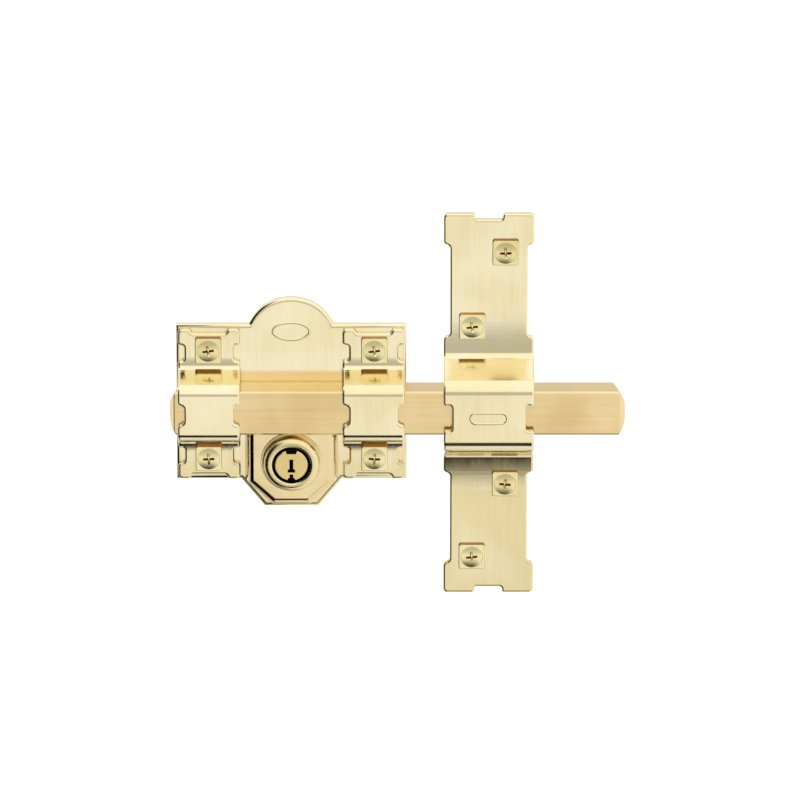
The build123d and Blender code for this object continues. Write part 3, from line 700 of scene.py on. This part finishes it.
def base_plate():
    """Pressed plate with a domed top, a tapered skirt, flared collar holes and a plain oval frame."""
    dome_centre = complex(0, plate_high.z - DOME_RADIUS)
    shoulder = math.asin((PLATE_TOP - dome_centre.imag) / DOME_RADIUS)
    steps = 48
    sweep = math.pi - 2 * shoulder
    turns = [shoulder + sweep * step / steps for step in range(steps + 1)]
    dome = [dome_centre + cmath.rect(DOME_RADIUS, turn) for turn in turns]
    right = [
        complex(SKIRT_BOTTOM_HALF, plate_low.z),
        complex(SKIRT_TOP_HALF, PLATE_BOTTOM),
        complex(plate_high.x, PLATE_BOTTOM),
        complex(plate_high.x, PLATE_TOP),
    ]
    left = [-point.conjugate() for point in reversed(right)]
    bm = slab(right + dome + left, PLATE_SHEET, PLATE_RIM)
    cutters = bmesh.new()
    profile = [
        (0, -FLARE_DEPTH),
        (FLARE_RADIUS + FLARE_DEPTH, -FLARE_DEPTH),
        (SHANK_RADIUS, FLARE_DEPTH),
        (SHANK_RADIUS, 2 * PLATE_SHEET),
        (0, 2 * PLATE_SHEET),
    ]
    for place in BODY_COLLARS:
        lathe(cutters, profile, place, 48)
    prism(cutters, circle(LOCK_CENTRE, PLATE_OPENING), -PLATE_SHEET, 2 * PLATE_SHEET)
    bm = boolean(bm, cutters)
    width, height = PLATE_EMBLEM_SIZE
    emblem = [
        complex(width * math.cos(turn), PLATE_EMBLEM_UP + height * math.sin(turn))
        for turn in (math.radians(angle) for angle in range(0, 360, 6))
    ]
    bm = raised_frame(bm, emblem, PLATE_SHEET, EMBLEM_HEIGHT, EMBLEM_LINE)
    place_front(bm)
    piece("base_plate_finish", bm, [sheet_gold])


base_plate()

# Collars and screws -----------------------------------------------------------------------------


def collar(seat):
    """One square-headed rivet with its bore on the origin, standing on a seat depth."""
    outline = round_corners(rectangle(0, COLLAR_SIZE, COLLAR_SIZE), COLLAR_ROUND)
    bm = slab(outline, COLLAR_HEIGHT, COLLAR_RIM)
    bmesh.ops.translate(bm, verts=bm.verts, vec=(0, 0, seat))
    shank = bmesh.new()
    end = seat + 0.0005
    profile = [(0, 0), (FLARE_RADIUS, 0), (SHANK_RADIUS, FLARE_DEPTH), (SHANK_RADIUS, end), (0, end)]
    lathe(shank, profile, steps=48)
    bm = boolean(bm, shank, "UNION")
    bore = bmesh.new()
    top = seat + COLLAR_HEIGHT
    rim = top - 0.00045
    past = 0.001
    profile = [
        (0, -past),
        (COLLAR_BORE, -past),
        (COLLAR_BORE, rim - SCREW_HEAD + COLLAR_BORE),
        (SCREW_HEAD + 0.00008, rim),
        (SCREW_HEAD + 0.00012, top + past),
        (0, top + past),
    ]
    lathe(bore, profile, steps=64)
    return boolean(bm, bore)


def cross_cutter():
    """Four-winged tapered tool that leaves a cross recess, point down, its mouth at height 0."""
    floor = rectangle(0, 0.0016, 0.0005)
    mouth = rectangle(0, 0.0057, 0.00115)
    bm = bmesh.new()
    for turn in (1, 1j):
        loft(bm, [([p * turn for p in floor], -0.0021), ([p * turn for p in mouth], 0.0003)])
    return bm


def screw_head(top, turn):
    """Slightly domed countersunk head with its cross turned by an angle, and the neck."""
    rim = 0.0007
    neck = 0.0022
    bottom = -0.0002
    dome = tangent_arc(complex(0, top), 1, complex(SCREW_HEAD, top - 0.0003), 8)
    profile = [
        (0, bottom),
        (neck, bottom),
        (neck, top - rim - SCREW_HEAD + neck),
        (SCREW_HEAD, top - rim),
        *turned(reversed(dome)),
        (0, top),
    ]
    head = bmesh.new()
    lathe(head, profile, steps=64)
    cutter = cross_cutter()
    bmesh.ops.rotate(cutter, verts=cutter.verts, matrix=Matrix.Rotation(turn, 3, "Z"))
    bmesh.ops.translate(cutter, verts=cutter.verts, vec=(0, 0, top))
    return boolean(head, cutter)


def thread(length, steps=32):
    """Wood screw thread from height 0 down to its point, with rows of points for each turn."""
    pitch = 0.0018
    root = 0.0017
    crest = 0.0025
    point = 0.006
    half_ridge = 0.3
    rows = 12
    bm = bmesh.new()
    loops = []
    for row in range(int(length / pitch * rows) + 1):
        height = -row * pitch / rows
        taper = min(1, (length + height) / point)
        ring = []
        for step in range(steps):
            phase = (row / rows + step / steps) % 1
            ridge = max(0, 1 - abs(phase - 0.5) / half_ridge)
            fade = min(1, row / rows)
            radius = max(0.00005, taper * (root + (crest - root) * ridge * fade))
            spot = cmath.rect(radius, 2 * math.pi * step / steps)
            ring.append(bm.verts.new((spot.real, spot.imag, height)))
        loops.append(ring)
    bridge_loops(bm, loops[::-1])
    bm.faces.new(loops[0])
    bm.faces.new(reversed(loops[-1]))
    return bm


def copies(bm, places):
    """Copies of one drawing at each place, in one drawing."""
    mesh = bpy.data.meshes.new("master")
    bm.to_mesh(mesh)
    bm.free()
    made = bmesh.new()
    for place in places:
        before = len(made.verts)
        made.from_mesh(mesh)
        made.verts.ensure_lookup_table()
        bmesh.ops.translate(made, verts=made.verts[before:], vec=(place.real, place.imag, 0))
    bpy.data.meshes.remove(mesh)
    return made


def shade_sides(obj):
    """Gives the second material, painted shade, to the faces in front of the door that do not look to the
    front.
    """
    for face in obj.data.polygons:
        if face.normal.y > -0.6 and face.center.y < -0.001:
            face.material_index = 1


def fasteners(prefix, places, seat, first_turn):
    """The collars and the wood screws of one strap group, each cross turned a little differently."""
    collars = copies(collar(seat), places)
    place_front(collars)
    obj = piece(f"{prefix}_collars_finish", collars, [screw_gold, shaded_side_gold])
    # Painted shade: side faces of the collars and screws take the darker second material.
    shade_sides(obj)
    screws = bmesh.new()
    top = seat + COLLAR_HEIGHT + SCREW_PROUD
    for number, place in enumerate(places):
        turn = math.radians(first_turn + 7 * math.sin(2.3 * number))
        head = screw_head(top, turn)
        join(head, thread(SCREW_LENGTH - top))
        bmesh.ops.translate(head, verts=head.verts, vec=(place.real, place.imag, 0))
        join(screws, head)
    place_front(screws)
    obj = piece(f"{prefix}_screws_finish", screws, [screw_gold, shaded_side_gold])
    shade_sides(obj)


fasteners("body", BODY_COLLARS, PLATE_SHEET + STRAP_SHEET, 3)
fasteners("keeper", KEEPER_COLLARS, KEEPER_SHEET, 2)

# Bolt bar ---------------------------------------------------------------------------------------


def bolt_bar():
    """Drawn bar with softened edges and turned ends; rack_spaces() gives the cutters for the rack in its
    lower back edge.
    """
    thickness = bar_high.y - bar_low.y
    height = bar_high.z - bar_low.z
    section = []
    for before, corner, after in neighbours(rectangle(0, thickness, height)):
        section.append(corner + BAR_EDGE * (before - corner) / abs(before - corner))
        section.append(corner + BAR_EDGE * (after - corner) / abs(after - corner))
    section = round_corners(section, 0.00025, 3)
    shrink = [1, 0.995, 0.985, 0.96, 0.9, 0.8, 0.65, 0.5, 0.35, 0.2, 0.1]
    drop = [0.0005, 0.00015, 0.00004] + [0] * 8
    rings = list(zip(shrink, drop))
    loops = []
    bm = bmesh.new()
    for end, inward, sizes in ((bar_low.x, 1, rings[::-1]), (bar_high.x, -1, rings)):
        for size, back_off in sizes:
            ring = []
            for point in section:
                spot = point * size
                fall = BAR_END_RADIUS - math.sqrt(BAR_END_RADIUS**2 - abs(spot - BAR_END_AXIS) ** 2)
                ring.append(bm.verts.new((spot.real, spot.imag, end + inward * (fall + back_off))))
            loops.append(ring)
    bridge_loops(bm, loops)
    bm.faces.new(reversed(loops[0]))
    bm.faces.new(loops[-1])
    middle = (bar_low.y + bar_high.y) / 2
    for vert in bm.verts:
        vert.co = Vector((vert.co.z, middle + vert.co.x, vert.co.y))
    return bm


def rack_spaces():
    """Cutters for the gaps of the rack, from the back of the bar forwards."""
    slope = math.tan(math.radians(20))
    half_at_pitch = RACK_SPACING / 4 + RACK_PLAY
    mouth = half_at_pitch + 2 * RACK_MODULE * slope
    floor = half_at_pitch - 1.25 * RACK_MODULE * slope
    low = bar_low.z - RACK_MODULE
    high = bar_low.z + 2.25 * RACK_MODULE
    bm = bmesh.new()
    for number in range(-3, 34):
        x = number * RACK_SPACING
        space = [
            complex(x - mouth, low),
            complex(x + mouth, low),
            complex(x + floor, high),
            complex(x - floor, high),
        ]
        prism(bm, space, 0.001, RACK_FRONT)
    place_front(bm)
    return bm


bar = boolean(bolt_bar(), rack_spaces())
piece("bolt_bar_finish", bar, [bar_brass], "bolt", sharp=25)

# Lock -------------------------------------------------------------------------------------------


def housing_outline(grow):
    """Half-octagon seen from the front, grown outwards; it runs up past the open top."""
    half = HOUSING_HALF + grow
    corner = grow * math.tan(math.radians(22.5))
    right = [
        complex(HOUSING_FOOT_HALF + corner, HOUSING_BOTTOM - grow),
        complex(half, HOUSING_SHOULDER - corner),
        complex(half, 0.002),
    ]
    return right + [-point.conjugate() for point in reversed(right)]


def lock_housing():
    """Pressed cover with a rounded face edge, hollow behind, open where the bar passes."""
    draft = HOUSING_DRAFT
    rise = HOUSING_FACE - PLATE_SHEET
    spread = rise * math.tan(draft)
    wall_inset = (rise - HOUSING_EDGE * (1 - math.sin(draft))) * math.tan(draft)
    levels = [(0, 0)]
    steps = 9
    for step in range(steps + 1):
        angle = draft + (math.pi / 2 - draft) * step / steps
        side = HOUSING_EDGE * (math.cos(draft) - math.cos(angle))
        levels.append((wall_inset + side, rise - HOUSING_EDGE * (1 - math.sin(angle))))
    bm = bmesh.new()
    loft(bm, [
        (round_corners(housing_outline(spread - distance), HOUSING_CORNER), PLATE_SHEET + height)
        for distance, height in levels
    ])
    wall = HOUSING_SHEET / math.cos(draft)
    roof = HOUSING_FACE - HOUSING_SHEET
    narrow = spread - wall - (roof - PLATE_SHEET) * math.tan(draft)
    inner = bmesh.new()
    loft(inner, [(housing_outline(spread - wall), PLATE_SHEET - 0.001), (housing_outline(narrow), roof)])
    prism(inner, circle(LOCK_CENTRE, 0.0095), 0.009, 0.013)
    prism(inner, rectangle(0j, 0.06, 0.021), 0, 0.013)
    bm = boolean(bm, inner)
    place_front(bm)
    piece("lock_housing_finish", bm, [housing_gold])


def shade_recess(obj, inside):
    """Gives the painted-shade material to the faces for which inside(radius, depth) holds."""
    obj.data.materials.append(recess_painted_shade)
    for face in obj.data.polygons:
        radius = math.hypot(face.center.x - LOCK_CENTRE.real, face.center.z - LOCK_CENTRE.imag)
        if inside(radius, -face.center.y):
            face.material_index = 1


def rosette():
    """Convex turned ring round the plug, with a sunk ring in front of the plug's bore."""
    lip = complex(ROSETTE_MOUTH, 0.0159)
    crest = complex(0.0095, 0.0163)
    rim = complex(0.0125, HOUSING_FACE + 0.0023)
    bore = PLUG_RADIUS + 0.00005
    outside = [
        complex(ROSETTE_SPIGOT, ROSETTE_BACK),
        complex(ROSETTE_SPIGOT, HOUSING_FACE),
        complex(0.0133, HOUSING_FACE),
        complex(0.0133, HOUSING_FACE + 0.0009),
        complex(0.0125, HOUSING_FACE + 0.0009),
        rim,
    ]
    slope_out = list(reversed(tangent_arc(crest, 1, rim, 14)))[1:]
    slope_in = [crest] + tangent_arc(crest, -1, lip, 8)
    inside = [
        complex(ROSETTE_MOUTH, ROSETTE_FLOOR),
        complex(bore, ROSETTE_FLOOR),
        complex(bore, ROSETTE_BACK),
    ]
    profile = round_corners(outside + slope_out + slope_in + inside, 0.0002, 4)
    bm = bmesh.new()
    lathe(bm, turned(profile), LOCK_CENTRE, 128, closed=True)
    place_front(bm)
    obj = piece("rosette_finish", bm, [rosette_gold])
    # Painted shade: the sunk ring in front of the plug gets the near-black material.
    shade_recess(obj, lambda radius, depth: radius < ROSETTE_MOUTH + 0.00005 and depth < lip.imag - 0.0003)


def key_plug():
    """Turned plug with its keyway, ward, top and bottom notches and clip groove."""
    edge = 0.0003
    seat_back, seat_front = PLUG_SEAT
    groove_back, groove_front = CLIP_GROOVE
    profile = [
        (0, PLUG_TAIL),
        (PLUG_BARREL, PLUG_TAIL),
        (PLUG_BARREL, groove_back),
        (CLIP_GROOVE_RADIUS, groove_back),
        (CLIP_GROOVE_RADIUS, groove_front),
        (PLUG_BARREL, groove_front),
        (PLUG_BARREL, seat_back),
        (PLUG_SEAT_RADIUS, seat_back),
        (PLUG_SEAT_RADIUS, seat_front),
        (PLUG_RADIUS, seat_front),
        (PLUG_RADIUS, PLUG_FACE - edge),
        (PLUG_RADIUS - edge, PLUG_FACE),
        (0, PLUG_FACE),
    ]
    bm = bmesh.new()
    lathe(bm, profile, LOCK_CENTRE, 128)
    cutters = bmesh.new()
    front = PLUG_FACE + 0.001
    for low, high in ((-0.0032, 0.0028), (-0.0058, -0.0041)):
        centre = LOCK_CENTRE + complex(0, (low + high) / 2)
        prism(cutters, rectangle(centre, KEYWAY_WIDTH, high - low), PLUG_FACE - KEYWAY_DEPTH, front)
    bm = boolean(bm, cutters)
    cutters = bmesh.new()
    ward = rectangle(LOCK_CENTRE - 0.00245j, 0.0032, 0.0015)
    prism(cutters, ward, PLUG_FACE - KEYWAY_DEPTH + 0.001, front)
    for inner, inner_half, outer, outer_half in (
        (0.0053, 0.00205, 0.0073, 0.00275),
        (-0.0057, 0.0014, -0.0073, 0.0019),
    ):
        notch = [
            complex(-inner_half, inner),
            complex(inner_half, inner),
            complex(outer_half, outer),
            complex(-outer_half, outer),
        ]
        if outer < inner:
            notch.reverse()
        prism(cutters, [LOCK_CENTRE + point for point in notch], PLUG_FACE - 0.003, front)
    for side in (-1, 1):
        flat = rectangle(LOCK_CENTRE + side * (PLUG_SEAT_FLAT + 0.001), 0.002, 0.016)
        prism(cutters, flat, *PLUG_SEAT)
    bm = boolean(bm, cutters)
    place_front(bm)
    obj = piece("key_plug_finish", bm, [lock_brass], "plug")
    # Painted shade: the keyway and ward walls inside the plug get the near-black material.
    shade_recess(obj, lambda radius, depth: 0.002 < depth < PLUG_FACE - 0.0004)


lock_housing()
rosette()
key_plug()

# CAD nodes that stay ----------------------------------------------------------------------------

KEPT = {"sheet_plating": sheet_gold, "housing_plating": housing_gold, "bar_brass": bar_brass}
KEPT |= {"screw_plating": screw_gold, "lock_brass": lock_brass, "spring_steel": spring_steel}
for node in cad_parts.values():
    for number, material in enumerate(node.data.materials):
        node.data.materials[number] = KEPT[material.name]

# Studio -----------------------------------------------------------------------------------------


def ramp(n, value, stops):
    """Smooth ramp of grey levels over a value from 0 to 1."""
    node = n.add("ShaderNodeValToRGB", {0: value})
    node.color_ramp.interpolation = "EASE"
    while len(node.color_ramp.elements) < len(stops):
        node.color_ramp.elements.new(1)
    for element, (place, level) in zip(node.color_ramp.elements, stops):
        element.position = place
        element.color = (level, level, level, 1)
    return node.outputs[0]


def turn_ramp(n, value, stops):
    """Ramp over an angle that runs from -180 to 180 degrees; the value is 0.5 at 0 degrees."""
    return ramp(n, value, [(0.5 + degrees / 360, level) for degrees, level in stops])


def studio_light():
    """Bright tent with dark gaps on the left and below, a dim strip in front and a dim back.

    Azimuth turns to the left from the front, pitch turns up from the front.
    """
    world = bpy.data.worlds.new("studio")
    bpy.context.scene.world = world
    n = Nodes(world)
    direction = n.add("ShaderNodeTexCoord").outputs["Generated"]
    x, y, z = n.add("ShaderNodeSeparateXYZ", {0: direction}).outputs
    left, front = n.math("MULTIPLY", x, -1), n.math("MULTIPLY", y, -1)
    azimuth = n.math("ADD", n.math("DIVIDE", n.math("ARCTAN2", left, front), 2 * math.pi), 0.5)
    pitch = n.math("ADD", n.math("DIVIDE", n.math("ARCTAN2", z, front), 2 * math.pi), 0.5)
    height = n.math("ADD", n.math("MULTIPLY", z, 0.5), 0.5)
    across = n.math("ADD", n.math("MULTIPLY", x, 0.5), 0.5)
    side = turn_ramp(n, azimuth, [(22, 0), (28, 1), (72, 1), (88, 0)])
    side_reach = ramp(n, height, [(0.78, 1), (0.9, 0)])
    below = turn_ramp(n, pitch, [(-60, 0), (-55, 1), (-33, 1), (-24, 0)])
    under = turn_ramp(n, pitch, [(-122, 0), (-116, 1), (-106, 1), (-100, 0)])
    below_reach = ramp(n, across, [(0.53, 1), (0.6, 0)])
    strip = turn_ramp(n, pitch, [(-19, 0), (-11, 1), (6, 1), (13, 0)])
    strip_reach = ramp(n, across, [(0.28, 0), (0.34, 1), (0.66, 1), (0.72, 0)])
    behind = turn_ramp(n, pitch, [(105, 0), (140, 1)])
    lit = n.math("ADD", n.math("MULTIPLY", height, 0.22), 0.97)
    for dark, reach, depth in (
        (side, side_reach, 1),
        (below, below_reach, 0.97),
        (under, below_reach, 0.97),
        (strip, strip_reach, 0.45),
        (behind, 1, 0.28),
    ):
        darkness = n.math("MULTIPLY", n.math("MULTIPLY", dark, reach), depth)
        lit = n.math("MULTIPLY", lit, n.math("SUBTRACT", 1, darkness))
    is_camera = n.add("ShaderNodeLightPath").outputs["Is Camera Ray"]
    shown = n.math("ADD", n.math("MULTIPLY", lit, n.math("SUBTRACT", 1, is_camera)), is_camera)
    n.feed(n.shader.inputs["Strength"], shown)
    n.shader.inputs["Color"].default_value = (1, 1, 1, 1)


def floor():
    """Pale floor well below the lock; metal mirrors the studio instead of it."""
    level = cad_box[0][2] - 0.17
    bm = bmesh.new()
    bm.faces.new([bm.verts.new((p.real, p.imag, level)) for p in circle(0, 12)])
    mesh = bpy.data.meshes.new("floor")
    bm.to_mesh(mesh)
    bm.free()
    n = Nodes(bpy.data.materials.new("floor_paper"))
    n.feed(n.shader.inputs["Base Color"], n.mix(n.noise(3), (0.97, 0.97, 0.97, 1), (0.95, 0.95, 0.95, 1)))
    n.shader.inputs["Roughness"].default_value = 0.9
    n.shader.inputs["Emission Color"].default_value = (1, 1, 1, 1)
    n.shader.inputs["Emission Strength"].default_value = 0.25
    mesh.materials.append(n.owner)
    obj = bpy.data.objects.new("floor", mesh)
    bpy.context.scene.collection.objects.link(obj)
    obj.visible_glossy = False


def camera():
    """Long lens, 20.5 degrees above the lock, looking straight across it."""
    target = Vector((0.04713, 0, 0.00037))
    distance = 4.8268
    elevation = math.radians(20.5)
    data = bpy.data.cameras.new("camera")
    data.lens = 500
    data.sensor_width = 36
    data.clip_end = 100
    obj = bpy.data.objects.new("camera", data)
    obj.location = target + distance * Vector((0, -math.cos(elevation), math.sin(elevation)))
    obj.rotation_euler = (math.pi / 2 - elevation, 0, 0)
    bpy.context.scene.collection.objects.link(obj)
    bpy.context.scene.camera = obj


studio_light()
floor()
camera()
bpy.context.scene.view_settings.view_transform = "Standard"
